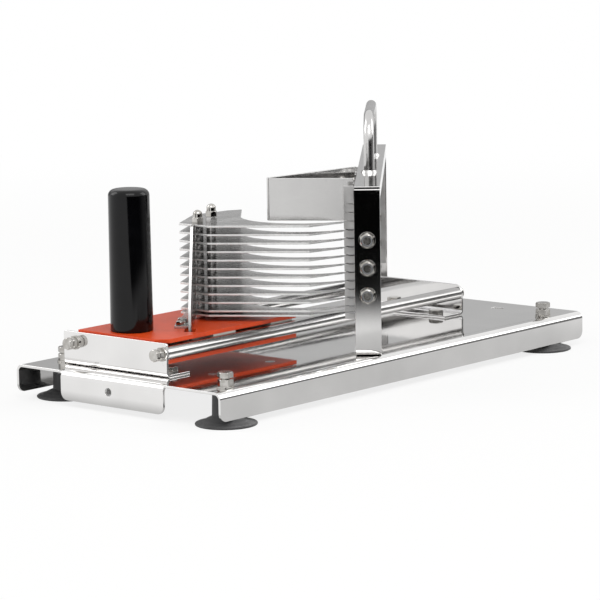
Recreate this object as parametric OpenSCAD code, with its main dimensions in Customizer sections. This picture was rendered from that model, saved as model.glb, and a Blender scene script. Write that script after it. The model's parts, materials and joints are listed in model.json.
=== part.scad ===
// Push-type tomato slicer. A red slide with a stack of finger plates runs on two guide rods
// and drives the fruit through a fixed set of oblique blades held in a raised frame.
// +X is the cutting direction, +Y the far side and +Z up. The origin lies on the bench,
// under the centre of the base plate. Sizes are in millimetres.

/* [Base] */
// Length of the base plate
base_l = 430; // [415:5:480]
// Width of the base plate
base_w = 200; // [195:5:240]
// Thickness of the base sheet
base_t = 2; // [1.5:0.25:3]
// Height of the base's top face above the bench
base_h = 26; // [25:1:36]
// Depth of the turned-down sides, from the top face
skirt_h = 21; // [15:1:21]
// Inside radius of the folds in the base
base_fold_r = 3.5; // [2:0.5:5]
// Rounding of the free corners of the folded sides
skirt_corner_r = 6; // [2:0.5:10]
// Width of the turned-down front tab
tab_w = 101; // [60:1:110]
// Distance of the front tab's middle from the base's centre line
tab_y = 4.5; // [-10:0.5:10]
// Depth of the front tab, from the top face
tab_h = 21.5; // [16:0.5:23]
// Diameter of the hole in the front tab
tab_hole_d = 6; // [3:0.5:8]
// Distance of that hole from the base's centre line
tab_hole_y = 7.5; // [-20:0.5:20]
// Length of the slotted hole near the rear edge
rear_slot_l = 12; // [8:1:20]
// Width of the slotted hole near the rear edge
rear_slot_w = 4; // [3:0.5:6]

/* [Feet] */
// Diameter of a suction foot's disc
foot_d = 44; // [34:1:48]
// Diameter of a foot's stem
foot_stem_d = 19; // [14:1:19]
// Distance of the near front foot from the front edge
foot_front_inset = 19; // [14:1:30]
// Distance of the far front foot from the front edge
foot_far_front_inset = 28.5; // [28:0.5:34]
// Distance of the near rear foot from the rear edge
foot_rear_inset = 37; // [24:1:60]
// Distance of the near feet from the near edge
foot_side_inset = 12; // [12:1:24]
// Distance of the far front foot from the side of the front bracket
foot_bracket_gap = 7; // [7:0.5:12]

/* [Guide rods] */
// Diameter of a guide rod
rod_d = 10; // [8:0.5:12]
// Distance between the two rod axes
rod_gap = 86; // [80:1:92]
// Clear length of a rod between the brackets
rod_l = 340; // [330:2:344]
// Height of the rod axes above the base's top face
rod_rise = 17; // [16:0.5:20]
// Distance of the slide's centre line from the base's centre line
slide_y = 16; // [10:1:18]
// Distance of the front bracket from the front edge
bracket_inset = 20; // [16:1:26]
// Thickness of the bracket sheet
bracket_t = 2; // [1.5:0.25:3]
// Width of the brackets
bracket_w = 102; // [100:1:104]
// Offset of the brackets from the slide's centre line
bracket_offset = 3.5; // [0:0.5:4]
// Height of the front bracket
front_bracket_h = 25; // [24:0.5:25]
// Height of the rear bracket
rear_bracket_h = 24; // [23:0.5:26]
// Length of a bracket's foot along the base
bracket_foot = 24; // [18:1:28]
// Corner radius of the rear bracket
rear_corner_r = 7; // [3:0.5:8]

/* [Slide] */
// Length of the slide boards
slide_l = 145; // [135:1:160]
// Width of the slide boards
slide_w = 84; // [80:1:88]
// Thickness of the upper board
top_board_t = 3; // [3:0.2:5]
// Thickness of the lower board
low_board_t = 3; // [3:0.2:4]
// Length of one guide block between the boards
block_l = 24; // [16:1:30]
// Corner cut of the upper board at the grip end
board_cut = 7; // [3:0.5:10]
// Travel of the slide along the rods
stroke = 145; // [100:1:150]

/* [Grip] */
// Diameter of the grip at its foot
grip_d = 31; // [24:0.5:36]
// Diameter of the grip just under its top
grip_top_d = 30; // [22:0.5:34]
// Height of the grip
grip_h = 103; // [80:1:120]
// Rounding of the grip's top edge
grip_edge_r = 5; // [2:0.5:8]
// Distance of the grip's axis from the front end of the slide
grip_x = 20; // [17:0.5:26]
// Distance of the grip's axis from the slide's centre line
grip_y = 7; // [-10:1:15]

/* [Finger plates] */
// Number of finger plates
plate_n = 12; // [8:1:13]
// Thickness of a finger plate
plate_t = 1.5; // [0.8:0.1:1.6]
// Distance from plate to plate, which is also the slice thickness
slice_t = 6.25; // [5:0.25:6.5]
// Distance between the two lowest plates
low_pitch = 3.3; // [3:0.1:4]
// Height of the lowest plate above the slide's upper board
plate_rise = 3.5; // [3:0.1:6]
// Radius of the pocket that holds the fruit
pocket_r = 48.4; // [46:0.2:54]

/* [Blade frame] */
// Angle between the blades and the slide's travel
blade_angle = 38; // [37:0.2:38.6]
// Distance of the frame's far bolt from the far edge of the base
frame_far_inset = 16.7; // [16.5:0.1:19]
// Width of the uprights and of the bridge
frame_w = 19; // [16:0.5:22]
// Height of the bridge's top face above the base
frame_h = 125; // [122:0.5:135]
// Thickness of an upright
upright_t = 4; // [3:0.5:6]
// Length of an upright's foot on the base
upright_foot = 24; // [20:1:28]
// Thickness of the bridge sheet
bridge_t = 2; // [1.5:0.25:3]
// Depth of the bridge's turned-down sides
bridge_lip = 8; // [5:0.5:9]
// Thickness of a comb plate that holds the blades
comb_t = 4; // [3:0.5:5]
// Reach of a comb plate beyond the frame's centre line
comb_reach = 17; // [16:0.5:20]
// Number of empty slots above the blades in the near comb
spare_slots = 3; // [0:1:3]

/* [Blades] */
// Width of a blade
blade_w = 9; // [6:0.5:9]
// Thickness of a blade
blade_t = 0.6; // [0.4:0.1:0.8]
// Width of the ground edge
blade_bevel = 2; // [1:0.25:3]
// Length of the narrow blade ends outside the combs
blade_end_l = 3; // [2:0.5:3.5]

/* [Carrying bow] */
// Diameter of the bow's rod
bow_d = 8; // [6:0.5:10]
// Distance between the bow's legs
bow_span = 118; // [90:2:130]
// Height of the bow above the bridge
bow_h = 46; // [40:1:60]
// Bend radius at the bow's corners
bow_bend_r = 20; // [14:1:24]
// Distance of the bow's near leg from the frame's near face
bow_start = 91; // [80:1:100]

/* [Guard] */
// Thickness of the guard sheet
guard_t = 1.5; // [1:0.25:2]
// Height of the guard above the bridge's top face
guard_rise = 4; // [2:0.5:8]
// Reach of the guard's fold from the frame's centre line
guard_reach = 74.5; // [60:0.5:76]
// Distance of the guard's near wall from the frame's near face
guard_near = 21; // [20:0.5:24]
// Distance of the guard's far wall end from the frame's near face
guard_far = 97; // [90:1:110]

/* [Fasteners] */
// Diameter of the main bolts
bolt_d = 6; // [5:0.5:6]
// Width across the flats of the main bolt heads and nuts
bolt_af = 10; // [9:0.5:10]
// Height of a main bolt head
head_h = 4; // [3:0.25:4]
// Height of a main nut
nut_h = 5; // [4:0.25:5]
// Thickness of a washer
washer_t = 1.2; // [0.8:0.1:1.6]
// Diameter of the small bolts through the plates and into the rods
tie_d = 5; // [4:0.5:5]
// Width across the flats of the small bolt heads and nuts
small_af = 8; // [7:0.5:8]
// Radial play of a bolt in its hole
hole_play = 0.15; // [0.1:0.05:0.25]
// Radial running play between rods and guide blocks
run_play = 0.05; // [0.03:0.01:0.08]
// Gap between pieces that pass or face each other
face_gap = 0.3; // [0.3:0.05:0.4]

/* [Hidden] */
$fn = 48;
steel = "silver";
bright = "lightgray";
red = "orangered";
black = [0.06, 0.06, 0.06];
rubber = [0.22, 0.22, 0.22];
eps = 0.01;

fold_o = base_fold_r + base_t;
tab_hole_drop = 11.1;
rear_slot_inset = 24;
rear_slot_y = -34;
front_x = -base_l / 2;
rear_x = base_l / 2;
foot_near_y = foot_side_inset - base_w / 2;
foot_socket_h = 12;
thread_over = 1;

rod_z = base_h + rod_rise;
rod_x0 = front_x + bracket_inset + bracket_t;
rod_x1 = rod_x0 + rod_l;
rod_ys = [slide_y - rod_gap / 2, slide_y + rod_gap / 2];
rod_thread_l = 14;
small_nut_h = 4;
small_head_h = 3.5;
rod_head_gap = 0.4;
bracket_fold_r = 2;
bracket_screw_gap = 68;
bracket_screw_in = 8;
bracket_screw_h = 3.2;

slide_x0 = rod_x0 + face_gap;
gap_below = 0.4;
gap_above = 1.4;
board_gap = gap_below + rod_d + gap_above;
top_board_z = rod_z + rod_d / 2 + gap_above;
board_top = top_board_z + top_board_t;
block_z = rod_z - rod_d / 2 - gap_below;
low_board_z = block_z - low_board_t;
block_xs = [slide_x0 + 54, slide_x0 + slide_l - block_l - 4];
block_w = rod_gap - 3;
screw_d = 4;
screw_head_d = 8;
screw_y = block_w / 2 - 12;

// The pusher's back sheet stands oblique on the upper board and carries the plates.
sheet_t = 2;
sheet_x = slide_x0 + 80.7;
sheet_y = slide_y + 0.9;
sheet_near = 47.6;
sheet_far = 5.5;
sheet_halving = 3;
sheet_foot_w = 11;
sheet_foot_end = -13;
sheet_screw_n = sheet_t / 2 + sheet_foot_w / 2 + 1;
sheet_screw_ss = [-33.5, -19.5];
sheet_tongue_l = 8;
sheet_tongue_drop = 8.4;
sheet_slope_s = -12;
sheet_near_h = 16;
sheet_fold_r = 1;
tie_points = [[10.3, -2.7], [10.8, -12.8]];
tie_extra = [0, 4.5];
spacer_d = 8;
acorn_h = 4;
slot_play = 0.05;

plate_z0 = board_top + plate_rise + plate_t / 2;
function plate_z(i) = i == 0 ? plate_z0 : plate_z0 + low_pitch + slice_t * (i - 1);
plate_top = plate_z(plate_n - 1) + plate_t / 2;

// Corners of a finger plate, measured from the slide's front end and centre line
back_near = [80.7, -13];
shoulder = [123.7, -74];
near_tip = [156.7, -80];
hook = [139.5, 6.2];
hook_tip = [166.4, 29.2];
hook_back = [156, 35];
heel = [122.7, 39.2];
back_far = [80.7, 15];
plate_corners = [back_near, shoulder, near_tip, hook, hook_tip, hook_back, heel, back_far];
pocket_chord = hook - near_tip;
pocket_half = norm(pocket_chord) / 2;
pocket_offset = sqrt(pocket_r * pocket_r - pocket_half * pocket_half);
pocket_normal = [pocket_chord[1], -pocket_chord[0]] / norm(pocket_chord);
pocket_centre = (hook + near_tip) / 2 + pocket_normal * pocket_offset;

frame_x = -42.4;
frame_y = 9.1 - base_w / 2;
foot_screw_a = 12;
far_bolt_a = (base_w / 2 - frame_far_inset - frame_y) / sin(blade_angle);
frame_l = far_bolt_a + foot_screw_a;
bridge_z = base_h + frame_h - bridge_t;
upright_h = bridge_z - base_h;
blade_n = plate_n - 1;
blade_b = comb_reach - blade_w / 2 - 1;
function blade_z(i) = (plate_z(i) + plate_z(i + 1)) / 2;
comb_a = upright_t;
comb_z0 = blade_z(0) - 5;
comb_z1 = bridge_z - bridge_lip - 1;
far_comb_z1 = comb_z1 - 7;
comb_bolt_zs = [for (k = [0:2]) base_h + 45 + 20.4 * k];
foot_points = [
    [front_x + foot_front_inset, foot_near_y],
    [front_x + foot_far_front_inset, slide_y + bracket_offset + bracket_w / 2 + foot_bracket_gap],
    [rear_x - foot_rear_inset, foot_near_y],
    [frame_x + far_bolt_a * cos(blade_angle), frame_y + far_bolt_a * sin(blade_angle)]];
foot_over = [0, 0, 0, upright_t];
grip_socket_h = 40;
bow_legs = [bow_start, bow_start + bow_span];
collar_d = bow_d + 5;
collar_h = 2;
guard_z0 = plate_top + face_gap + 0.1;
guard_z1 = base_h + frame_h + guard_rise;
guard_b0 = frame_w / 2 + guard_t / 2;
guard_tab_l = 14;
guard_tab_z = bridge_z - bridge_lip + 1;
guard_lean = 6;
guard_fold_r = 1.5;
guard_steps = 8;
guard_screw_d = 3;

blade_names = [for (i = [1:blade_n]) str("blade_", i < 10 ? "0" : "", i)];
plate_names = [for (i = [1:plate_n]) str("finger_plate_", i < 10 ? "0" : "", i)];

// Small shared shapes
module hex_prism(af, h, chamfer = 0.7) {
    r = af / 2 / cos(30);
    intersection() {
        cylinder(r = r, h = h, $fn = 6);
        cylinder(r1 = r + h - chamfer, r2 = r - chamfer, h = h);
    }
}

module hex_nut(af, h, d) {
    difference() {
        hex_prism(af, h);
        translate([0, 0, -1]) cylinder(d = d + 2 * hole_play, h = h + 2);
    }
}

module washer(d, t) {
    difference() {
        cylinder(d = 2 * d + 0.4, h = t);
        translate([0, 0, -1]) cylinder(d = d + 2 * hole_play, h = t + 2);
    }
}

module quarter_ring(r, t) {
    intersection() {
        difference() {
            circle(r = r + t);
            circle(r = r);
        }
        square(r + t);
    }
}

// A fold whose top runs along -X and whose side drops along -Y, extruded along +Z
module fold_bar(r, t, l) {
    linear_extrude(l) quarter_ring(r, t);
}

module rounded_drop(w, h, t, r) {
    // A plate in the XZ plane that hangs below z = 0, with both lower corners rounded
    rotate([90, 0, 0]) linear_extrude(t) {
        translate([0, -h + r]) square([w, h - r]);
        translate([r, -h]) square([w - 2 * r, r + eps]);
        for (x = [r, w - r]) translate([x, -h + r]) circle(r = r);
    }
}

module in_frame() {
    translate([frame_x, frame_y, 0]) rotate([0, 0, blade_angle]) children();
}

module on_sheet() {
    translate([sheet_x, sheet_y, 0]) rotate([0, 0, blade_angle]) children();
}

module at_slide() {
    translate([slide_x0, slide_y, 0]) children();
}

// Base
module base_side() {
    translate([front_x, -base_w / 2, base_h - fold_o])
        rotate([90, 0, 0]) translate([0, 0, -base_t])
        rounded_side();
    translate([front_x, -base_w / 2 + fold_o, base_h - fold_o])
        rotate([90, 0, 90]) mirror([1, 0, 0]) fold_bar(base_fold_r, base_t, base_l);
}

module rounded_side() {
    drop = skirt_h - fold_o;
    linear_extrude(base_t) {
        translate([0, -drop + skirt_corner_r]) square([base_l, drop - skirt_corner_r]);
        translate([skirt_corner_r, -drop])
            square([base_l - 2 * skirt_corner_r, skirt_corner_r + eps]);
        for (x = [skirt_corner_r, base_l - skirt_corner_r])
            translate([x, -drop + skirt_corner_r]) circle(r = skirt_corner_r);
    }
}

module front_tab() {
    translate([front_x, tab_y - tab_w / 2, base_h - fold_o])
        rotate([0, 0, 90]) rounded_drop(tab_w, tab_h - fold_o, base_t, skirt_corner_r);
    translate([front_x + fold_o, tab_y + tab_w / 2, base_h - fold_o])
        rotate([90, 0, 0]) mirror([1, 0, 0]) fold_bar(base_fold_r, base_t, tab_w);
}

module base_plate() color(steel) difference() {
    union() {
        translate([front_x, -base_w / 2 + fold_o, base_h - base_t])
            cube([base_l, base_w - 2 * fold_o, base_t]);
        base_side();
        mirror([0, 1, 0]) base_side();
        front_tab();
    }
    base_front_relief();
    for (p = foot_points) translate([p[0], p[1], 0]) bolt_hole();
    for (p = bracket_screw_points()) translate([p[0], p[1], 0]) bolt_hole();
    in_frame() translate([foot_screw_a, 0, 0]) bolt_hole();
    translate([front_x - 1, tab_hole_y, base_h - tab_hole_drop]) rotate([0, 90, 0])
        cylinder(d = tab_hole_d, h = base_t + 2);
    rear_slot();
}

module base_front_relief() {
    // Clears the flat sheet in front of the tab's fold
    translate([front_x - 1, tab_y - tab_w / 2, base_h - base_t - eps])
        difference() {
            cube([fold_o + 1, tab_w, base_t + 1]);
            translate([fold_o + 1, -1, -fold_o + base_t + eps]) rotate([-90, 0, 0])
                cylinder(r = fold_o, h = tab_w + 2);
        }
}

module bolt_hole() {
    translate([0, 0, base_h - base_t - 1]) cylinder(d = bolt_d + 2 * hole_play, h = base_t + 2);
}

module rear_slot() {
    translate([rear_x - rear_slot_inset, rear_slot_y, base_h - base_t - 1]) linear_extrude(base_t + 2) {
        for (y = [-1, 1]) translate([0, y * (rear_slot_l - rear_slot_w) / 2])
            circle(d = rear_slot_w);
        square([rear_slot_w, rear_slot_l - rear_slot_w], center = true);
    }
}

module suction_foot(p) {
    top = base_h - base_t;
    flare = 5;
    rim = 1.2;
    cup = 3;
    steps = 12;
    r0 = foot_stem_d / 2;
    r1 = foot_d / 2;
    curve = [for (i = [0:steps]) let (u = i / steps)
        [r0 + (r1 - r0) * u, rim + flare * pow(1 - u, 1.3)]];
    inner = [for (i = [0:6]) let (u = i / 6) [(r1 - rim) * (1 - u), cup * sin(90 * u)]];
    color(rubber) translate([p[0], p[1], 0]) difference() {
        rotate_extrude() polygon(concat(
            [[0, top], [r0 - base_fold_r, top], [r0, top - base_fold_r]], curve, [[r1, 0]], inner));
        translate([0, 0, top - foot_socket_h - 1])
            cylinder(d = bolt_d + 2 * hole_play, h = foot_socket_h + 2);
    }
}

module foot_bolts() color(bright) for (k = [0:3])
    translate([foot_points[k][0], foot_points[k][1], base_h - base_t - foot_socket_h]) {
        shank = foot_socket_h + base_t + foot_over[k] + washer_t + nut_h + thread_over;
        cylinder(d = bolt_d, h = shank + eps);
        translate([0, 0, shank]) hex_prism(bolt_af, head_h);
    }

// Brackets and rods
function bracket_screw_points() = [for (rear = [0, 1], s = [-1, 1])
    [rear ? rod_x1 - bracket_foot + bracket_screw_in : rod_x0 + bracket_foot - bracket_screw_in,
     slide_y + s * bracket_screw_gap / 2]];

module bracket(h, corner_r) {
    // Stands on the base with its plate at x = 0..bracket_t and its foot along +X
    o = bracket_fold_r + bracket_t;
    translate([0, -bracket_w / 2, o]) difference() {
        rotate([90, 0, 90]) linear_extrude(bracket_t) {
            square([bracket_w, h - o - corner_r]);
            translate([corner_r, 0]) square([bracket_w - 2 * corner_r, h - o]);
            for (y = [corner_r, bracket_w - corner_r])
                translate([y, h - o - corner_r]) circle(r = corner_r);
        }
        for (y = rod_ys)
            translate([-1, y - slide_y - bracket_offset + bracket_w / 2, rod_rise - o])
            rotate([0, 90, 0]) cylinder(d = tie_d + 2 * hole_play, h = bracket_t + 2);
    }
    translate([o, -bracket_w / 2, o]) rotate([-90, 0, 0]) mirror([1, 0, 0])
        fold_bar(bracket_fold_r, bracket_t, bracket_w);
    difference() {
        translate([o, -bracket_w / 2, 0]) cube([bracket_foot - o, bracket_w, bracket_t]);
        for (s = [-1, 1])
            translate([bracket_foot - bracket_screw_in + bracket_t,
                s * bracket_screw_gap / 2 - bracket_offset, -1])
                cylinder(d = bolt_d + 2 * hole_play, h = bracket_t + 2);
    }
}

module front_bracket() color(steel)
    translate([rod_x0 - bracket_t, slide_y + bracket_offset, base_h])
        bracket(front_bracket_h, 2);

module rear_bracket() color(steel)
    translate([rod_x1 + bracket_t, slide_y + bracket_offset, base_h]) mirror([1, 0, 0])
        bracket(rear_bracket_h, rear_corner_r);

module bracket_screws() color(bright) {
    for (p = bracket_screw_points()) translate([p[0], p[1], base_h + bracket_t])
        through_screw(bracket_screw_h, bracket_t);
    in_frame() translate([foot_screw_a, 0, base_h + upright_t])
        through_screw(head_h, upright_t);
}

module through_screw(h, over) {
    // Head above z = 0, shank down through the sheet above the base and the base itself
    grip = over + base_t;
    hex_prism(bolt_af, h);
    translate([0, 0, -grip - nut_h - thread_over])
        cylinder(d = bolt_d, h = grip + nut_h + thread_over + eps);
}

module guide_rod(y) color(bright) difference() {
    translate([rod_x0, y, rod_z]) rotate([0, 90, 0]) cylinder(d = rod_d, h = rod_l);
    for (x = [rod_x0 - 1, rod_x1 - rod_thread_l]) translate([x, y, rod_z])
        rotate([0, 90, 0]) cylinder(d = tie_d + 2 * hole_play, h = rod_thread_l + 1);
}

module rod_bolts() color(bright) for (y = rod_ys) {
    stack = washer_t + small_nut_h + rod_head_gap;
    translate([rod_x0 - bracket_t, y, rod_z]) rotate([0, -90, 0]) {
        translate([0, 0, -rod_thread_l + 2])
            cylinder(d = tie_d, h = stack + rod_thread_l - 2 + eps);
        translate([0, 0, stack]) hex_prism(small_af, small_head_h);
    }
    translate([rod_x1 + bracket_t, y, rod_z]) rotate([0, 90, 0]) {
        translate([0, 0, -rod_thread_l + 2]) cylinder(d = tie_d, h = rod_thread_l - 2 + eps);
        intersection() {
            translate([0, 0, -rod_d * 0.18]) sphere(d = rod_d * 1.08);
            cylinder(d = rod_d * 1.1, h = rod_d);
        }
    }
}

module hex_nuts() color(bright) {
    for (k = [0:3])
        translate([foot_points[k][0], foot_points[k][1], base_h + foot_over[k] + washer_t])
        hex_nut(bolt_af, nut_h, bolt_d);
    for (y = rod_ys) translate([rod_x0 - bracket_t - washer_t, y, rod_z])
        rotate([0, -90, 0]) hex_nut(small_af, small_nut_h, tie_d);
    for (p = bracket_screw_points()) translate([p[0], p[1], base_h - base_t - nut_h])
        hex_nut(bolt_af, nut_h, bolt_d);
    in_frame() translate([foot_screw_a, 0, base_h - base_t - nut_h])
        hex_nut(bolt_af, nut_h, bolt_d);
    in_frame() for (a = bow_legs) translate([a, 0, bridge_z - nut_h])
        hex_nut(bolt_af, nut_h, bolt_d);
}

module washers() color(steel) {
    for (k = [0:3]) translate([foot_points[k][0], foot_points[k][1], base_h + foot_over[k]])
        washer(bolt_d, washer_t);
    for (y = rod_ys) translate([rod_x0 - bracket_t, y, rod_z])
        rotate([0, -90, 0]) washer(tie_d, washer_t);
}

// Blade frame, in its own axes: a along the blades from the near face, b to the pusher side
module upright() {
    r = 2;
    o = r + upright_t;
    difference() {
        union() {
            translate([0, -frame_w / 2, base_h + o]) cube([upright_t, frame_w, upright_h - o]);
            translate([o, -frame_w / 2, base_h + o]) rotate([-90, 0, 0]) mirror([1, 0, 0])
                fold_bar(r, upright_t, frame_w);
            translate([o, -frame_w / 2, base_h]) cube([upright_foot - o, frame_w, upright_t]);
        }
        for (z = comb_bolt_zs) translate([-1, 0, z]) rotate([0, 90, 0])
            cylinder(d = bolt_d + 2 * hole_play, h = upright_t + 2);
        translate([foot_screw_a, 0, base_h - 1])
            cylinder(d = bolt_d + 2 * hole_play, h = upright_t + 2);
    }
}

module comb(top, slots) {
    b0 = -frame_w / 2 + 1;
    difference() {
        translate([comb_a, b0, comb_z0])
            cube([comb_t, comb_reach - b0, top - comb_z0]);
        for (i = [0:blade_n + slots - 1]) {
            z = i < blade_n ? blade_z(i) : blade_z(blade_n - 1) + slice_t * (i - blade_n + 1);
            translate([comb_a - 1, blade_b - blade_w / 2 - slot_play, z - blade_t / 2 - slot_play])
                cube([comb_t + 2, comb_reach, blade_t + 2 * slot_play]);
        }
        for (z = comb_bolt_zs) translate([comb_a - 1, 0, z]) rotate([0, 90, 0])
            cylinder(d = bolt_d + 2 * hole_play, h = comb_t + 2);
    }
}

module far_end() {
    in_frame() translate([frame_l, 0, 0]) mirror([1, 0, 0]) children();
}

module upright_near() color(steel) in_frame() upright();
module upright_far() color(steel) far_end() upright();
module comb_near() color(steel) in_frame() {
    comb(comb_z1, spare_slots);
    translate([comb_a, frame_w / 2 + face_gap, comb_z1 - eps])
        cube([comb_t, comb_reach - frame_w / 2 - face_gap, bridge_z + bridge_t - comb_z1 + eps]);
}

module comb_far() color(steel) far_end() comb(far_comb_z1, 1);

module comb_bolt_set() {
    grip = upright_t + comb_t;
    for (z = comb_bolt_zs) translate([grip, 0, z]) rotate([0, 90, 0]) {
        translate([0, 0, -grip - nut_h + 0.5]) cylinder(d = bolt_d, h = grip + nut_h - 0.5 + eps);
        hex_prism(bolt_af, head_h);
    }
}

module comb_nut_set() {
    for (z = comb_bolt_zs) translate([0, 0, z]) rotate([0, -90, 0]) difference() {
        union() {
            cylinder(d = bolt_af + 2.4, h = 1.2);
            hex_prism(bolt_af, nut_h + 0.5);
        }
        translate([0, 0, -1]) cylinder(d = bolt_d + 2 * hole_play, h = nut_h + 3);
    }
}

module comb_bolts() color(bright) {
    in_frame() comb_bolt_set();
    far_end() comb_bolt_set();
}

module comb_nuts() color(bright) {
    in_frame() comb_nut_set();
    far_end() comb_nut_set();
}

module frame_bridge() color(steel) in_frame() {
    difference() {
        translate([0, -frame_w / 2, bridge_z]) cube([frame_l, frame_w, bridge_t]);
        for (a = bow_legs) translate([a, 0, bridge_z - 1])
            cylinder(d = bolt_d + 2 * hole_play, h = bridge_t + 2);
    }
    for (s = [0, 1]) mirror([0, s, 0]) difference() {
        translate([upright_t + face_gap, frame_w / 2 - bridge_t, bridge_z - bridge_lip])
            cube([frame_l - 2 * (upright_t + face_gap), bridge_t, bridge_lip + eps]);
        if (s == 0) for (a = guard_screw_as())
            translate([a, frame_w / 2 + 1, guard_screw_z()]) rotate([90, 0, 0])
                cylinder(d = guard_screw_d + 2 * hole_play, h = bridge_t + 2);
    }
}

module blade(i) color(bright) in_frame() {
    end_b = frame_w / 2 + face_gap;
    w = blade_w / 2;
    t = blade_t / 2;
    translate([comb_a, blade_b, blade_z(i)]) rotate([90, 0, 90])
        linear_extrude(frame_l - 2 * comb_a)
        polygon([[-w, -t], [w - blade_bevel, -t], [w, 0], [w - blade_bevel, t], [-w, t]]);
    for (a = [comb_a - blade_end_l, frame_l - comb_a]) translate([a, end_b, blade_z(i) - t])
        cube([blade_end_l, blade_b + w - blade_bevel - end_b, blade_t]);
}

module carrying_bow() color(bright) in_frame() {
    top = base_h + frame_h;
    rise = bow_h - bow_d / 2;
    for (a = bow_legs) translate([a, 0, top]) {
        cylinder(d = bow_d, h = rise - bow_bend_r + eps);
        cylinder(d1 = collar_d, d2 = collar_d - 2, h = collar_h);
        translate([0, 0, -bridge_t - nut_h]) cylinder(d = bolt_d, h = bridge_t + nut_h + eps);
    }
    for (k = [0, 1]) translate([bow_legs[k] + (1 - 2 * k) * bow_bend_r, 0, top + rise - bow_bend_r])
        rotate([90, 0, 0]) rotate([0, 0, 90 - 90 * k])
        rotate_extrude(angle = 90) translate([bow_bend_r, 0]) circle(d = bow_d);
    translate([bow_legs[0] + bow_bend_r - eps, 0, top + rise]) rotate([0, 90, 0])
        cylinder(d = bow_d, h = bow_span - 2 * bow_bend_r + 2 * eps);
}

// Guard: one bent sheet, folded over the pusher, with tabs screwed to the bridge
function guard_screw_as() = [guard_near + guard_tab_l / 2 + 1, guard_far - guard_tab_l / 2 - 4];
function guard_screw_z() = bridge_z - bridge_lip / 2 + 0.5;
function unit(v) = v / norm(v);
function right_of(v) = [v[1], -v[0]];
function guard_arc(r, from, to) = [for (k = [0:guard_steps])
    let (w = from + (to - from) * k / guard_steps) guard_centre + r * [cos(w), sin(w)]];

guard_near_end = [guard_near, guard_b0];
guard_far_end = [guard_far, guard_b0];
guard_corner = [guard_near + guard_lean, guard_reach + guard_fold_r];
guard_n1 = right_of(unit(guard_corner - guard_near_end));
guard_n2 = right_of(unit(guard_far_end - guard_corner));
guard_mid_r = guard_fold_r + guard_t / 2;
guard_centre = guard_corner + (guard_n1 + guard_n2) * guard_mid_r / (1 + guard_n1 * guard_n2);
guard_w1 = atan2(-guard_n1[1], -guard_n1[0]);
guard_w2 = atan2(-guard_n2[1], -guard_n2[0]);

module guard_walls() {
    half = guard_t / 2;
    translate([0, 0, guard_z0]) linear_extrude(guard_z1 - guard_z0) polygon(concat(
        [guard_near_end - guard_n1 * half],
        guard_arc(guard_fold_r + guard_t, guard_w1, guard_w2),
        [guard_far_end - guard_n2 * half, guard_far_end + guard_n2 * half],
        guard_arc(guard_fold_r, guard_w2, guard_w1),
        [guard_near_end + guard_n1 * half]));
}

module guard_tab(a, l) {
    translate([a, frame_w / 2, guard_tab_z]) cube([l, guard_t, bridge_z + bridge_t - guard_tab_z]);
}

module guard() color(steel) in_frame() difference() {
    union() {
        guard_walls();
        guard_tab(guard_near - guard_t / 2, guard_tab_l);
        guard_tab(guard_far - guard_tab_l - 4, guard_tab_l + 4);
    }
    for (a = guard_screw_as()) translate([a, frame_w / 2 + guard_t + 1, guard_screw_z()])
        rotate([90, 0, 0]) cylinder(d = guard_screw_d + 2 * hole_play, h = guard_t + 2);
}

module guard_screws() color(bright) in_frame() for (a = guard_screw_as())
    translate([a, frame_w / 2 + guard_t, guard_screw_z()]) rotate([90, 0, 0]) {
        cylinder(d = guard_screw_d, h = guard_t + bridge_t + 1.5);
        intersection() {
            translate([0, 0, 0.5]) sphere(d = guard_screw_d * 2);
            mirror([0, 0, 1]) cylinder(d = guard_screw_d * 2, h = guard_screw_d);
        }
    }

// Slide
module slide_outline(cut) {
    difference() {
        translate([0, -slide_w / 2]) square([slide_l, slide_w]);
        translate([0, -slide_w / 2]) polygon([[-1, -1], [cut, -1], [cut, 0], [0, cut], [-1, cut]]);
    }
}

module slide_top_board() color(red) difference() {
    at_slide() translate([0, 0, top_board_z]) linear_extrude(top_board_t)
        slide_outline(board_cut);
    at_slide() translate([grip_x, grip_y, top_board_z - 1])
        cylinder(d = bolt_d + 2 * hole_play, h = top_board_t + 2);
    on_sheet() {
        for (p = tie_points) translate([p[0], p[1], top_board_z - 1])
            cylinder(d = tie_d + 2 * hole_play, h = top_board_t + 2);
        for (s = sheet_screw_ss) translate([s, sheet_screw_n, top_board_z - 1])
            cylinder(d = screw_d + 2 * hole_play, h = top_board_t + 2);
        translate([-sheet_near - 6, -4, top_board_z - 1])
            cube([sheet_tongue_l + 7, 8, top_board_t + 2]);
    }
    at_slide() for (x = block_xs, s = [-1, 1])
        translate([x - slide_x0 + block_l / 2, s * screw_y, top_board_z - 1])
        cylinder(d = screw_d + 2 * hole_play, h = top_board_t);
}

module slide_low_board() color(red) difference() {
    at_slide() translate([0, 0, low_board_z]) linear_extrude(low_board_t) slide_outline(2);
    at_slide() for (x = block_xs, s = [-1, 1])
        translate([x - slide_x0 + block_l / 2, s * screw_y, low_board_z]) {
            translate([0, 0, -1]) cylinder(d = screw_d + 2 * hole_play, h = low_board_t + 2);
            translate([0, 0, -eps]) screw_cone(hole_play);
        }
}

module screw_cone(play) {
    cylinder(r1 = screw_head_d / 2 + play, r2 = screw_d / 2 + play, h = 2.4);
}

module guide_blocks() color([0.85, 0.85, 0.82]) difference() {
    for (x = block_xs) translate([x, slide_y - block_w / 2, block_z])
        cube([block_l, block_w, board_gap]);
    for (y = rod_ys) translate([rod_x0, y, rod_z]) rotate([0, 90, 0])
        cylinder(r = rod_d / 2 + run_play, h = rod_l);
    at_slide() for (x = block_xs, s = [-1, 1])
        translate([x - slide_x0 + block_l / 2, s * screw_y, block_z - 1])
        cylinder(d = screw_d + 2 * hole_play, h = 2 * board_gap);
}

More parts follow.
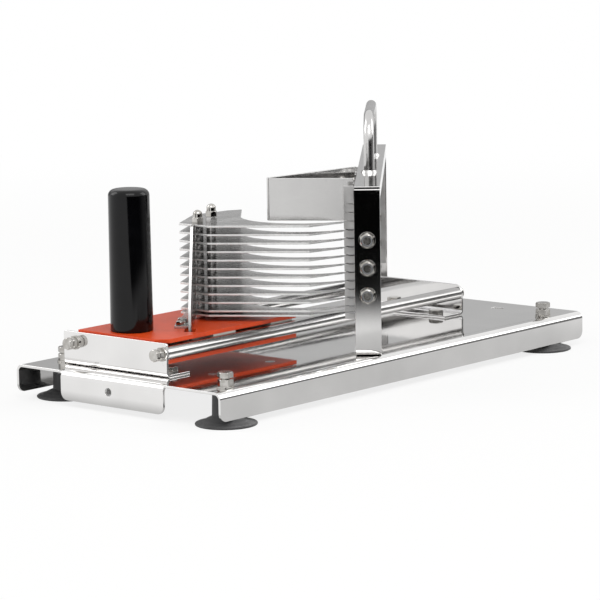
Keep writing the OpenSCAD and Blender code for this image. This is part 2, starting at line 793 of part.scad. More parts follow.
module slide_screws() color(bright) at_slide() for (x = block_xs, s = [-1, 1])
    translate([x - slide_x0 + block_l / 2, s * screw_y, low_board_z]) {
        screw_cone(0);
        cylinder(d = screw_d, h = low_board_t + board_gap + top_board_t - 2);
    }

module grip() color(black) at_slide() translate([grip_x, grip_y, board_top]) difference() {
    rotate_extrude() {
        polygon([[0, 0], [grip_d / 2 - 1, 0], [grip_d / 2, 1],
            [grip_top_d / 2, grip_h - grip_edge_r], [0, grip_h - grip_edge_r]]);
        square([grip_top_d / 2 - grip_edge_r, grip_h]);
        intersection() {
            translate([grip_top_d / 2 - grip_edge_r, grip_h - grip_edge_r])
                circle(r = grip_edge_r);
            square([grip_d, grip_h]);
        }
    }
    translate([0, 0, -1]) cylinder(d = bolt_d + 2 * hole_play, h = grip_socket_h + 1);
}

module grip_stud() color(bright) at_slide()
    translate([grip_x, grip_y, top_board_z - washer_t - nut_h - thread_over])
    cylinder(d = bolt_d, h = washer_t + nut_h + thread_over + top_board_t + grip_socket_h - 2);

module grip_nut() color(bright) at_slide() translate([grip_x, grip_y, top_board_z]) {
    translate([0, 0, -washer_t]) washer(bolt_d, washer_t);
    translate([0, 0, -washer_t - nut_h]) hex_nut(bolt_af, nut_h, bolt_d);
}

// Pusher, in the sheet's own axes: s along the sheet, n to its blade side
module sheet_profile() {
    low = board_top;
    top = plate_top;
    difference() {
        polygon([
            [-sheet_near, low + sheet_fold_r + sheet_t], [sheet_far, low + sheet_fold_r + sheet_t],
            [sheet_far, top], [sheet_slope_s, top], [-sheet_near, low + sheet_near_h]]);
        for (i = [0:plate_n - 1])
            translate([sheet_halving, plate_z(i) - plate_t / 2 - slot_play])
                square([sheet_far, plate_t + 2 * slot_play]);
    }
    translate([-sheet_near, low - sheet_tongue_drop])
        square([sheet_tongue_l, sheet_tongue_drop + sheet_fold_r + sheet_t]);
}

module pusher_sheet() color(steel) on_sheet() {
    o = sheet_fold_r + sheet_t;
    foot_s0 = -sheet_near + sheet_tongue_l + 0.5;
    foot_s1 = sheet_foot_end;
    translate([0, sheet_t / 2, 0]) rotate([90, 0, 0]) linear_extrude(sheet_t) sheet_profile();
    translate([foot_s0, sheet_t / 2 + sheet_fold_r, board_top + o])
        rotate([90, 0, 90]) rotate([0, 0, 180])
        fold_bar(sheet_fold_r, sheet_t, foot_s1 - foot_s0);
    difference() {
        translate([foot_s0, sheet_t / 2 + sheet_fold_r, board_top])
            cube([foot_s1 - foot_s0, sheet_foot_w - sheet_fold_r, sheet_t]);
        for (s = sheet_screw_ss) translate([s, sheet_screw_n, board_top - 1])
            cylinder(d = screw_d + 2 * hole_play, h = sheet_t + 2);
    }
    translate([foot_s0 + 11, sheet_t / 2 - eps, board_top + sheet_t]) rotate([90, 0, 90])
        linear_extrude(sheet_t) polygon([[0, -eps], [sheet_foot_w - 1, -eps], [0, 13]]);
}

module sheet_screws() color(bright) on_sheet() for (s = sheet_screw_ss)
    translate([s, sheet_screw_n, board_top + sheet_t]) {
        hex_prism(7, 2.8);
        translate([0, 0, -sheet_t - top_board_t + 1])
            cylinder(d = screw_d, h = sheet_t + top_board_t - 1 + eps);
    }

module finger_plate(i) color(bright) difference() {
    translate([0, 0, plate_z(i) - plate_t / 2]) linear_extrude(plate_t) difference() {
        at_slide() polygon(plate_corners);
        at_slide() translate(pocket_centre) circle(r = pocket_r, $fn = 96);
    }
    on_sheet() {
        translate([-20, -sheet_t / 2 - slot_play, plate_z(i) - plate_t])
            cube([20 + sheet_halving + slot_play, sheet_t + 2 * slot_play, 2 * plate_t]);
        for (p = tie_points) translate([p[0], p[1], plate_z(i) - plate_t])
            cylinder(d = tie_d + 2 * hole_play, h = 2 * plate_t);
    }
}

module tie_bolts() color(bright) on_sheet() for (k = [0, 1])
    translate([tie_points[k][0], tie_points[k][1], top_board_z - 3]) {
        hex_prism(small_af, 3);
        cylinder(d = tie_d, h = 3 + plate_top - top_board_z + acorn_h + tie_extra[k]);
    }

module tie_spacers() color(steel) on_sheet() for (p = tie_points) {
    translate([p[0], p[1], board_top]) tube(plate_rise);
    for (i = [0:plate_n - 2]) translate([p[0], p[1], plate_z(i) + plate_t / 2])
        tube(plate_z(i + 1) - plate_z(i) - plate_t);
    translate([tie_points[1][0], tie_points[1][1], plate_top]) hex_nut(small_af, tie_extra[1], tie_d);
}

module tube(h) {
    difference() {
        cylinder(d = spacer_d, h = h);
        translate([0, 0, -1]) cylinder(d = tie_d + 2 * hole_play, h = h + 2);
    }
}

module acorn_nuts() color(bright) on_sheet() for (k = [0, 1])
    translate([tie_points[k][0], tie_points[k][1], plate_top + tie_extra[k]]) difference() {
        union() {
            hex_prism(small_af, acorn_h);
            translate([0, 0, acorn_h - 0.5]) cylinder(d = small_af - 1, h = 2.5);
            translate([0, 0, acorn_h + 2]) sphere(d = small_af - 1);
        }
        translate([0, 0, -1]) cylinder(d = tie_d + 2 * hole_play, h = acorn_h + 1.5);
    }

base_plate();
suction_foot(foot_points[0]);  // foot_front_near
suction_foot(foot_points[1]);  // foot_front_far
suction_foot(foot_points[2]);  // foot_rear_near
suction_foot(foot_points[3]);  // foot_rear_far
foot_bolts();
front_bracket();
rear_bracket();
bracket_screws();
guide_rod(rod_ys[0]);  // guide_rod_near
guide_rod(rod_ys[1]);  // guide_rod_far
rod_bolts();
hex_nuts();
washers();
upright_near();
upright_far();
frame_bridge();
comb_near();
comb_far();
comb_bolts();
comb_nuts();
carrying_bow();
guard();
guard_screws();
slide_top_board();
slide_low_board();
guide_blocks();
slide_screws();
grip();
grip_stud();
grip_nut();
pusher_sheet();
sheet_screws();
tie_bolts();
tie_spacers();
acorn_nuts();
for (i = [0:blade_n - 1]) blade(i);
for (i = [0:plate_n - 1]) finger_plate(i);
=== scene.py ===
import json
import math

import bmesh
import bpy
from mathutils import Matrix, Vector

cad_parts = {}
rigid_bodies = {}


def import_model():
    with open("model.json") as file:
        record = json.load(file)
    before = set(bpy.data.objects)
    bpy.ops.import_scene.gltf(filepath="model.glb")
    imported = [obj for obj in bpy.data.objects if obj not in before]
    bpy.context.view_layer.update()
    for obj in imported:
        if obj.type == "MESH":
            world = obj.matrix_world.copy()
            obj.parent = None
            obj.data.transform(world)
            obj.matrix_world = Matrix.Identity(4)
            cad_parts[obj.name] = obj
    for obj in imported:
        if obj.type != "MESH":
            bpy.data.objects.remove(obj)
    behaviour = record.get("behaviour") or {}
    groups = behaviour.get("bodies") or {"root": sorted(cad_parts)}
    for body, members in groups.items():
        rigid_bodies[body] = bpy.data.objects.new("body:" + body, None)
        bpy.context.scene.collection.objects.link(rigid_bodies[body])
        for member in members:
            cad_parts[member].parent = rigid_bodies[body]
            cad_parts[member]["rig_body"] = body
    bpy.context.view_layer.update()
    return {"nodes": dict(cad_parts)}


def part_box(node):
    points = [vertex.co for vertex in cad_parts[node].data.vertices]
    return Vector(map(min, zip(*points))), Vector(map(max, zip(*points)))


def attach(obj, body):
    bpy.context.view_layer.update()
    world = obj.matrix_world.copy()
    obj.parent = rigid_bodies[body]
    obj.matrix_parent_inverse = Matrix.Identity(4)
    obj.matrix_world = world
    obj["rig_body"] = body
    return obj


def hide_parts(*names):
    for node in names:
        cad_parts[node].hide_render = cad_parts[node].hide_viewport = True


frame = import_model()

mm = 0.001
bladeTurn = 38  # degrees between the slide's way and the blades, which the frame stands along
print("frame loaded:", len(frame["nodes"]), "nodes")


# camera, a long lens a good two metres away on the grip's side

cameraView = {
    "lens": 180.0,
    "sensor": 36.0,
    "yaw": 40.64,
    "pitch": 8.904,
    "roll": 0.9326,
    "place": (-1715.6, -1461.6, 407.4),  # in millimetres
    "clipStart": 0.05,
    "clipEnd": 60,
}


def setCamera(view):
    yaw = math.radians(view["yaw"])
    pitch = math.radians(view["pitch"])
    roll = math.radians(view["roll"])
    level = math.cos(pitch)
    forward = Vector((level * math.cos(yaw), level * math.sin(yaw), -math.sin(pitch)))
    across = forward.cross(Vector((0, 0, 1))).normalized()
    downward = forward.cross(across)
    right = math.cos(roll) * across + math.sin(roll) * downward
    down = -math.sin(roll) * across + math.cos(roll) * downward
    data = bpy.data.cameras.new("slicerCamera")
    data.lens = view["lens"]
    data.sensor_width = view["sensor"]
    data.clip_start = view["clipStart"]
    data.clip_end = view["clipEnd"]
    camera = bpy.data.objects.new("slicerCamera", data)
    bpy.context.scene.collection.objects.link(camera)
    turn = Matrix((right, -down, -forward)).transposed().to_4x4()
    camera.matrix_world = Matrix.Translation(Vector(view["place"]) * mm) @ turn
    bpy.context.scene.camera = camera


setCamera(cameraView)
print("camera set")


# colours and nodes

pureWhite = (1, 1, 1, 1)
rampSpan = (0.3, 0.7)  # where noise, which seldom nears 0 or 1, turns from one colour to the other


def hexColour(code):
    # sRGB hex to linear, with full alpha
    values = [int(code[i:i + 2], 16) / 255 for i in (1, 3, 5)]
    return [v / 12.92 if v <= 0.04045 else ((v + 0.055) / 1.055) ** 2.4 for v in values] + [1.0]


def addNode(tree, kind, settings=None, links=None):
    # settings fill an input where the name is one, otherwise a property of the node
    node = tree.nodes.new("ShaderNode" + kind)
    for name, value in (settings or {}).items():
        if isinstance(name, int) or name in node.inputs:
            node.inputs[name].default_value = value
        else:
            setattr(node, name, value)
    for name, source in (links or {}).items():
        tree.links.new(source, node.inputs[name])
    return node


def emptyMaterial(name):
    material = bpy.data.materials.new(name)
    material.use_nodes = True
    material.node_tree.nodes.clear()
    return material, material.node_tree


def startFinish(name):
    material, tree = emptyMaterial(name)
    shader = addNode(tree, "BsdfPrincipled")
    addNode(tree, "OutputMaterial", links={"Surface": shader.outputs[0]})
    place = addNode(tree, "TexCoord").outputs["Object"]
    return material, tree, shader, place


def rampBetween(tree, source, low, high):
    ramp = addNode(tree, "ValToRGB", links={"Fac": source})
    for element, position, colour in zip(ramp.color_ramp.elements, rampSpan, (low, high)):
        element.position = position
        element.color = colour
    return ramp.outputs["Color"]


# metals: worked colour, roughness that wanders, and the marks that polishing or grinding left;
# real marks are finer than a tenth of a millimetre and are drawn several times coarser, to show

metalMarks = {"markDetail": 6.0, "markBreak": 0.6, "cloudDetail": 2.0, "swellDetail": 1.0,
              "noiseLow": 0.7, "noiseHigh": 1.3, "markDeepMm": 0.02}


def noiseAt(tree, sizeMm, source, settings):
    # noise whose grains are sizeMm across
    return addNode(tree, "TexNoise", {"Scale": 1 / (sizeMm * mm), **settings}, {"Vector": source})


def workedMetal(name, s):
    material, tree, shader, place = startFinish(name)
    m = metalMarks
    shader.inputs["Metallic"].default_value = 1.0
    shader.inputs["Anisotropic"].default_value = s["stretch"]
    lay = addNode(tree, "Mapping", {"Scale": s["lay"], "Rotation": (0, 0, math.radians(s["turn"]))},
                  {"Vector": place})
    marks = noiseAt(tree, s["markMm"], lay.outputs[0],
                    {"Detail": m["markDetail"], "Roughness": m["markBreak"]})
    cloud = noiseAt(tree, s["cloudMm"], place, {"Detail": m["cloudDetail"]})
    swell = noiseAt(tree, s["swellMm"], place, {"Detail": m["swellDetail"]})
    colour = rampBetween(tree, cloud.outputs["Fac"], hexColour(s["shade"]), hexColour(s["colour"]))
    tree.links.new(colour, shader.inputs["Base Color"])
    both = addNode(tree, "Math", {"operation": "ADD"}, {0: marks.outputs["Fac"], 1: cloud.outputs["Fac"]})
    rough = addNode(tree, "MapRange", {"From Min": m["noiseLow"], "From Max": m["noiseHigh"],
                                       "To Min": s["rough"][0], "To Max": s["rough"][1]},
                    {"Value": both.outputs[0]})
    tree.links.new(rough.outputs[0], shader.inputs["Roughness"])
    fine = addNode(tree, "Bump", {"Strength": s["markDepth"], "Distance": m["markDeepMm"] * mm},
                   {"Height": marks.outputs["Fac"]})
    soft = addNode(tree, "Bump", {"Strength": 1.0, "Distance": s["swellDepth"] * mm},
                   {"Height": swell.outputs["Fac"], "Normal": fine.outputs[0]})
    tree.links.new(soft.outputs[0], shader.inputs["Normal"])
    return material


# stainless sheet, buffed to a mirror: near sharp reflections that bend a little over the sheet's swells
mirrorSheet = workedMetal("stainlessSheetMirrorPolished", {
    "colour": "#EBEAE9", "shade": "#E1E0DF", "rough": (0.03, 0.08), "stretch": 0.1,
    "lay": (0.05, 1.0, 1.0), "turn": 0, "markMm": 0.8, "markDepth": 0.12,
    "cloudMm": 40, "swellMm": 70, "swellDepth": 0.10})
# the same sheet in the frame, whose polishing lines stand across the others
mirrorFrame = workedMetal("stainlessStripMirrorPolished", {
    "colour": "#E2E1E0", "shade": "#D6D5D4", "rough": (0.05, 0.11), "stretch": 0.1,
    "lay": (1.0, 1.0, 0.06), "turn": bladeTurn, "markMm": 0.7, "markDepth": 0.10,
    "cloudMm": 30, "swellMm": 45, "swellDepth": 0.06})
# stainless plates, cut and then tumbled: soft reflections and lighter edges, and a tumbled grey darkened
# further as painted shade for the gaps between plates
tumbledPlatePaintedShade = workedMetal("stainlessPlateTumbledPaintedShade", {
    "colour": "#C9C8C7", "shade": "#B4B3B2", "rough": (0.20, 0.32), "stretch": 0.2,
    "lay": (1.0, 0.1, 1.0), "turn": bladeTurn, "markMm": 0.6, "markDepth": 0.15,
    "cloudMm": 18, "swellMm": 30, "swellDepth": 0.03})
# the plates' own rims, cut by laser: matt, and pale as a painted highlight, so each plate shows as a
# light line
cutRimPaintedHighlight = workedMetal("stainlessRimLaserCutPaintedHighlight", {
    "colour": "#F4F4F3", "shade": "#E6E6E5", "rough": (0.50, 0.65), "stretch": 0.0,
    "lay": (0.2, 0.2, 1.0), "turn": bladeTurn, "markMm": 0.5, "markDepth": 0.2,
    "cloudMm": 9, "swellMm": 20, "swellDepth": 0.01})
# blade strip, ground across its width: a silky band with a bright edge
groundBlade = workedMetal("bladeSteelCrossGround", {
    "colour": "#D9D9DA", "shade": "#C4C4C6", "rough": (0.10, 0.20), "stretch": 0.4,
    "lay": (1.0, 0.08, 1.0), "turn": bladeTurn - 90, "markMm": 0.4, "markDepth": 0.2,
    "cloudMm": 12, "swellMm": 25, "swellDepth": 0.02})
# round bar, drawn and centreless ground: long soft highlights with faint rings
groundBar = workedMetal("stainlessBarGround", {
    "colour": "#D2D1D0", "shade": "#C3C2C1", "rough": (0.16, 0.26), "stretch": 0.2,
    "lay": (1.0, 0.2, 0.2), "turn": 0, "markMm": 0.5, "markDepth": 0.1,
    "cloudMm": 25, "swellMm": 60, "swellDepth": 0.03})
# guide rods, the same bar with its colour darkened as painted shade, for the darker surroundings that the
# rods mirror
paintedShadeRod = workedMetal("stainlessRodPaintedShade", {
    "colour": "#B4B3B2", "shade": "#A3A2A1", "rough": (0.15, 0.24), "stretch": 0.2,
    "lay": (0.05, 1.0, 1.0), "turn": 0, "markMm": 0.5, "markDepth": 0.1,
    "cloudMm": 35, "swellMm": 60, "swellDepth": 0.02})
# guard sheet, satin: brushed lines that blur what it mirrors to one even tone
satinGuard = workedMetal("stainlessSheetSatin", {
    "colour": "#D2D1D0", "shade": "#C8C7C6", "rough": (0.12, 0.20), "stretch": 0.3,
    "lay": (1.0, 1.0, 8.0), "turn": 0, "markMm": 3.0, "markDepth": 0.12,
    "cloudMm": 25, "swellMm": 50, "swellDepth": 0.04})
# comb strips, slotted by laser and left raw: a flat light grey
rawComb = workedMetal("stainlessStripLaserCut", {
    "colour": "#CBCAC9", "shade": "#B7B6B5", "rough": (0.42, 0.56), "stretch": 0.0,
    "lay": (1.0, 1.0, 0.2), "turn": bladeTurn, "markMm": 0.6, "markDepth": 0.2,
    "cloudMm": 9, "swellMm": 20, "swellDepth": 0.01})
# through bolts, their ends sawn and turned: dull, with fine rings
turnedBolt = workedMetal("steelBoltTurned", {
    "colour": "#A3A19D", "shade": "#83817D", "rough": (0.20, 0.32), "stretch": 0.0,
    "lay": (0.3, 1.0, 1.0), "turn": bladeTurn, "markMm": 0.4, "markDepth": 0.2,
    "cloudMm": 5, "swellMm": 6, "swellDepth": 0.01})
# nickel-plated fasteners, cold headed: small dents and a warmer sheen
platedFastener = workedMetal("steelNickelPlated", {
    "colour": "#CDCBC7", "shade": "#A9A6A1", "rough": (0.05, 0.14), "stretch": 0.0,
    "lay": (1.0, 1.0, 1.0), "turn": 0, "markMm": 0.9, "markDepth": 0.25,
    "cloudMm": 5, "swellMm": 4, "swellDepth": 0.03})


# plastics and rubber: a coloured body under a skin that took its grain from the mould or the saw

plasticGrain = {"cloudDetail": 3.0, "grainDetail": 5.0, "grainBreak": 0.65,
                "noiseLow": 0.35, "noiseHigh": 0.65}


def mouldedPlastic(name, s):
    material, tree, shader, place = startFinish(name)
    g = plasticGrain
    shader.inputs["IOR"].default_value = s["ior"]
    shader.inputs["Sheen Weight"].default_value = s["sheen"]
    cloud = noiseAt(tree, s["cloudMm"], place, {"Detail": g["cloudDetail"]})
    colour = rampBetween(tree, cloud.outputs["Fac"], hexColour(s["shade"]), hexColour(s["colour"]))
    tree.links.new(colour, shader.inputs["Base Color"])
    lay = addNode(tree, "Mapping", {"Scale": s["lay"]}, {"Vector": place})
    grain = noiseAt(tree, s["grainMm"], lay.outputs[0],
                    {"Detail": g["grainDetail"], "Roughness": g["grainBreak"]})
    rough = addNode(tree, "MapRange", {"From Min": g["noiseLow"], "From Max": g["noiseHigh"],
                                       "To Min": s["rough"][0], "To Max": s["rough"][1]},
                    {"Value": grain.outputs["Fac"]})
    tree.links.new(rough.outputs[0], shader.inputs["Roughness"])
    bump = addNode(tree, "Bump", {"Strength": 1.0, "Distance": s["grainDepth"] * mm},
                   {"Height": grain.outputs["Fac"]})
    tree.links.new(bump.outputs[0], shader.inputs["Normal"])
    return material


# polyethylene board, sawn from a pressed sheet: deep orange red with a fine pebbled, waxy skin
pressedBoard = mouldedPlastic("polyethyleneBoardPressed", {
    "colour": "#E84E16", "shade": "#CC3F0C", "rough": (0.32, 0.48), "ior": 1.42, "sheen": 0.0,
    "cloudMm": 30, "lay": (1.0, 1.0, 1.0), "grainMm": 0.7, "grainDepth": 0.02})
# acetal blocks, milled: cool white with faint cutter lines across
milledBlock = mouldedPlastic("acetalBlockMilled", {
    "colour": "#D9D8D2", "shade": "#CBC9C2", "rough": (0.28, 0.42), "ior": 1.48, "sheen": 0.0,
    "cloudMm": 15, "lay": (1.0, 0.1, 1.0), "grainMm": 0.6, "grainDepth": 0.03})
# phenolic grip, moulded in a polished tool: black, with long clean highlights
mouldedGrip = mouldedPlastic("phenolicGripMoulded", {
    "colour": "#08080A", "shade": "#030304", "rough": (0.08, 0.14), "ior": 1.36, "sheen": 0.0,
    "cloudMm": 12, "lay": (1.0, 1.0, 0.3), "grainMm": 2.5, "grainDepth": 0.012})
# rubber feet, moulded: charcoal, matt, with a dusty bloom
mouldedRubber = mouldedPlastic("rubberFootMoulded", {
    "colour": "#39393A", "shade": "#2A2A2B", "rough": (0.45, 0.65), "ior": 1.52, "sheen": 0.15,
    "cloudMm": 8, "lay": (1.0, 1.0, 1.0), "grainMm": 0.5, "grainDepth": 0.02})
# nylon ring in a locking nut, moulded: grey and soft
mouldedNylon = mouldedPlastic("nylonRingMoulded", {
    "colour": "#8C8D90", "shade": "#77787B", "rough": (0.35, 0.5), "ior": 1.53, "sheen": 0.0,
    "cloudMm": 3, "lay": (1.0, 1.0, 1.0), "grainMm": 0.4, "grainDepth": 0.01})
print("finishes made")


# eased copies: a node's own solid with its edges broken as a deburred or sawn piece has them

easing = {"weldMm": 0.002, "flatDegrees": 0.3, "edgeDegrees": 34, "faceWeight": 100, "rimSlope": 0.6,
          "roundDegrees": 180}  # a broken edge shades round by itself, whatever its angle


def namesFrom(stem, last):
    return ["%s_%02d" % (stem, i) for i in range(1, last + 1)]


def pieceName(node):
    words = node.split("_")
    return words[0] + "".join(word.title() for word in words[1:])


def finishPiece(piece, node, material):
    piece.data.materials.clear()
    piece.data.materials.append(material)
    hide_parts(node)
    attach(piece, frame["nodes"][node]["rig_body"])


def linkMesh(name, bm):
    mesh = bpy.data.meshes.new(name)
    bm.to_mesh(mesh)
    bm.free()
    piece = bpy.data.objects.new(name, mesh)
    bpy.context.scene.collection.objects.link(piece)
    return piece


def applyModifiers(piece):
    mesh = bpy.data.meshes.new_from_object(piece.evaluated_get(bpy.context.evaluated_depsgraph_get()))
    piece.modifiers.clear()
    piece.data = mesh


def markSmooth(bm, degrees):
    for face in bm.faces:
        face.smooth = True
    for edge in bm.edges:
        edge.smooth = len(edge.link_faces) != 2 or edge.calc_face_angle(0) <= math.radians(degrees)


def smoothByAngle(mesh, degrees):
    bm = bmesh.new()
    bm.from_mesh(mesh)
    markSmooth(bm, degrees)
    bm.to_mesh(mesh)
    bm.free()


def easedCopy(node, s):
    bm = bmesh.new()
    bm.from_mesh(frame["nodes"][node].data)
    bmesh.ops.remove_doubles(bm, verts=bm.verts, dist=easing["weldMm"] * mm)
    bmesh.ops.dissolve_limit(bm, angle_limit=math.radians(easing["flatDegrees"]),
                             verts=bm.verts, edges=bm.edges)
    markSmooth(bm, s.get("smooth", easing["roundDegrees"]))
    piece = linkMesh(pieceName(node), bm)
    if "edge" in s:
        bevel = piece.modifiers.new("brokenEdges", "BEVEL")
        bevel.width = s["edge"] * mm
        bevel.segments = s["steps"]
        bevel.limit_method = "ANGLE"
        bevel.angle_limit = math.radians(easing["edgeDegrees"])
        bevel.use_clamp_overlap = False
        bevel.miter_outer = "MITER_ARC"
    flatten = piece.modifiers.new("flatFaces", "WEIGHTED_NORMAL")
    flatten.weight = easing["faceWeight"]
    flatten.keep_sharp = True
    bpy.context.view_layer.update()
    applyModifiers(piece)
    finishPiece(piece, node, s["finish"])
    if "rim" in s:
        piece.data.materials.append(s["rim"])
        for face in piece.data.polygons:
            face.material_index = int(abs(face.normal.z) < easing["rimSlope"])


# edge is the width of the broken edge in millimetres; pieces without one shade round up to an
# angle of smooth degrees
easedPieces = [
    {"name": "base", "nodes": ["base_plate"], "finish": mirrorSheet, "slot": "polished_steel",
     "edge": 0.3, "steps": 2},
    {"name": "brackets", "nodes": ["front_bracket", "rear_bracket"], "finish": mirrorSheet,
     "slot": "polished_steel", "edge": 0.3, "steps": 2},
    {"name": "blade frame", "nodes": ["upright_near", "upright_far", "frame_bridge"],
     "finish": mirrorFrame, "slot": "polished_steel", "edge": 0.4, "steps": 3},
    {"name": "guard", "nodes": ["guard"], "finish": satinGuard, "slot": "polished_steel",
     "edge": 0.25, "steps": 2},
    {"name": "combs", "nodes": ["comb_near", "comb_far"], "finish": rawComb, "slot": "satin_steel",
     "edge": 0.12, "steps": 1},
    {"name": "blades", "nodes": namesFrom("blade", 11), "finish": groundBlade,
     "slot": "ground_blade_steel", "smooth": 20},
    {"name": "finger plates", "nodes": namesFrom("finger_plate", 12), "finish": tumbledPlatePaintedShade,
     "slot": "satin_steel", "edge": 0.25, "steps": 3, "rim": cutRimPaintedHighlight},
    {"name": "guide rods", "nodes": ["guide_rod_near", "guide_rod_far"], "finish": paintedShadeRod,
     "slot": "rod_steel", "edge": 0.5, "steps": 2},
    {"name": "boards", "nodes": ["slide_top_board", "slide_low_board"], "finish": pressedBoard,
     "slot": "red_board", "edge": 0.4, "steps": 3},
    {"name": "guide blocks", "nodes": ["guide_blocks"], "finish": milledBlock, "slot": "block_plastic",
     "edge": 0.3, "steps": 2},
    {"name": "pusher sheet", "nodes": ["pusher_sheet"], "finish": tumbledPlatePaintedShade, "slot": "satin_steel",
     "edge": 0.15, "steps": 2},
    {"name": "comb bolts", "nodes": ["comb_bolts"], "finish": turnedBolt, "slot": "fastener_steel",
     "edge": 0.15, "steps": 2},
    {"name": "bolts and screws", "nodes": ["foot_bolts", "bracket_screws", "rod_bolts", "sheet_screws",
                                           "tie_bolts", "guard_screws", "slide_screws", "grip_stud"],
     "finish": platedFastener, "slot": "fastener_steel", "edge": 0.15, "steps": 2},
    {"name": "nuts and washers", "nodes": ["hex_nuts", "washers", "grip_nut", "acorn_nuts"],
     "finish": platedFastener, "slot": "fastener_steel", "edge": 0.15, "steps": 2},
    {"name": "spacers", "nodes": ["tie_spacers"], "finish": groundBar, "slot": "satin_steel",
     "edge": 0.12, "steps": 1},
    {"name": "carrying bow", "nodes": ["carrying_bow"], "finish": groundBar, "slot": "polished_steel",
     "smooth": 40},
]
for group in easedPieces:
    for node in group["nodes"]:
        easedCopy(node, group)
    print("edges eased:", group["name"])


# turned and moulded pieces, from their own outlines in millimetres

onAxis = 1e-6  # a radius below this is the axis itself


def latheMesh(name, outline, centre, steps):
    # the outline is (radius, height) along the section, and starts and ends on the axis
    bm = bmesh.new()
    rings = []
    for radius, height in outline:
        if radius < onAxis:
            rings.append([bm.verts.new((centre.x, centre.y, height * mm))])
            continue
        turns = [2 * math.pi * k / steps for k in range(steps)]
        rings.append([bm.verts.new((centre.x + radius * mm * math.cos(w),
                                    centre.y + radius * mm * math.sin(w), height * mm)) for w in turns])
    for low, high in zip(rings, rings[1:]):
        for k in range(steps):
            j = (k + 1) % steps
            corners = [low[k % len(low)], low[j % len(low)], high[j % len(high)], high[k % len(high)]]
            face = [vert for i, vert in enumerate(corners) if vert not in corners[:i]]
            if len(face) > 2:
                bm.faces.new(face)
    bmesh.ops.recalc_face_normals(bm, faces=bm.faces)
    return linkMesh(name, bm)


def arcPoints(centre, radius, start, end, count):
    turns = [math.radians(start + (end - start) * k / count) for k in range(count + 1)]
    return [(centre[0] + radius * math.cos(w), centre[1] + radius * math.sin(w)) for w in turns]


def nodeCentre(node):
    low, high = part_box(node)
    return (low + high) / 2, low.z / mm, high.z / mm


gripShape = {"foot": 31.0, "top": 30.0, "edge": 5.0, "footEdge": 0.8, "bore": 6.3, "boreDepth": 40.0,
             "edgeSteps": 20, "footEdgeSteps": 6, "steps": 160, "smooth": 35}


def makeGrip(s):
    centre, base, top = nodeCentre("grip")
    topRadius, footRadius, boreRadius = s["top"] / 2, s["foot"] / 2, s["bore"] / 2
    outline = [(0, base + s["boreDepth"]), (boreRadius, base + s["boreDepth"]), (boreRadius, base)]
    outline += arcPoints((footRadius - s["footEdge"], base + s["footEdge"]), s["footEdge"], -90, 0,
                         s["footEdgeSteps"])
    outline += arcPoints((topRadius - s["edge"], top - s["edge"]), s["edge"], 0, 90, s["edgeSteps"])
    outline += [(0, top)]
    piece = latheMesh(pieceName("grip"), outline, centre, s["steps"])
    smoothByAngle(piece.data, s["smooth"])
    finishPiece(piece, "grip", mouldedGrip)


footShape = {"disc": 44.0, "stem": 19.0, "stemEdge": 0.8, "rim": 1.6, "flare": 5.0, "flareBend": 1.3,
             "ripple": 0.14, "ripples": 3, "bead": 0.8, "cup": 3.0, "bore": 6.3, "boreDepth": 12.0,
             "edgeSteps": 5, "skirtSteps": 24, "beadSteps": 10, "cupSteps": 12, "steps": 96, "smooth": 40}


def makeFoot(node, s):
    centre, floor, top = nodeCentre(node)
    stem, disc, bore, bead, edge = s["stem"] / 2, s["disc"] / 2, s["bore"] / 2, s["bead"], s["stemEdge"]
    outline = [(0, top - s["boreDepth"]), (bore, top - s["boreDepth"]), (bore, top)]
    outline += arcPoints((stem - edge, top - edge), edge, 90, 0, s["edgeSteps"])
    # the stem runs down to a skirt that spreads in faint ripples to a beaded rim
    for k in range(1, s["skirtSteps"] + 1):
        u = k / s["skirtSteps"]
        ripple = s["ripple"] * (1 - u) * math.cos(2 * math.pi * s["ripples"] * u)
        height = s["rim"] + s["flare"] * (1 - u) ** s["flareBend"] + ripple
        outline.append((stem + (disc - bead - stem) * u, floor + height))
    outline += arcPoints((disc - bead, floor + bead), bead, 90, -90, s["beadSteps"])
    # the hollow underneath that holds the foot to the table
    for k in range(1, s["cupSteps"] + 1):
        u = k / s["cupSteps"]
        outline.append(((disc - 2 * bead) * (1 - u), floor + s["cup"] * math.sin(math.pi / 2 * u)))
    piece = latheMesh(pieceName(node), outline, centre, s["steps"])
    smoothByAngle(piece.data, s["smooth"])
    finishPiece(piece, node, mouldedRubber)


makeGrip(gripShape)
for node in ("foot_front_near", "foot_front_far", "foot_rear_near", "foot_rear_far"):
    makeFoot(node, footShape)
print("grip and feet turned")


# the frame's locking nuts: a washer, six flats, and a rolled collar that holds a nylon ring

lockNut = {"flats": 10.0, "height": 5.5, "washer": 12.4, "washerHeight": 1.2, "bolt": 6.0,
           "boltGap": 0.15, "edge": 0.2, "collar": 1.1, "cornerCut": 0.8, "roll": 0.35, "lip": 0.8,
           "ring": 0.75, "sink": 0.3, "steps": 72, "smooth": 32,
           "nylonFrom": 12}  # the ring of nylon starts at the thirteenth band


def cutHexagon(bm, flats, corner, height, steps):
    # a hexagon across its flats, whose corners are turned down to a circle
    ring = []
    for k in range(steps):
        w = 2 * math.pi * k / steps
        side = flats / 2 / math.cos((w + math.pi / 6) % (math.pi / 3) - math.pi / 6)
        radius = min(side, corner / 2)
        ring.append(bm.verts.new((radius * mm * math.cos(w), radius * mm * math.sin(w), height * mm)))
    return ring


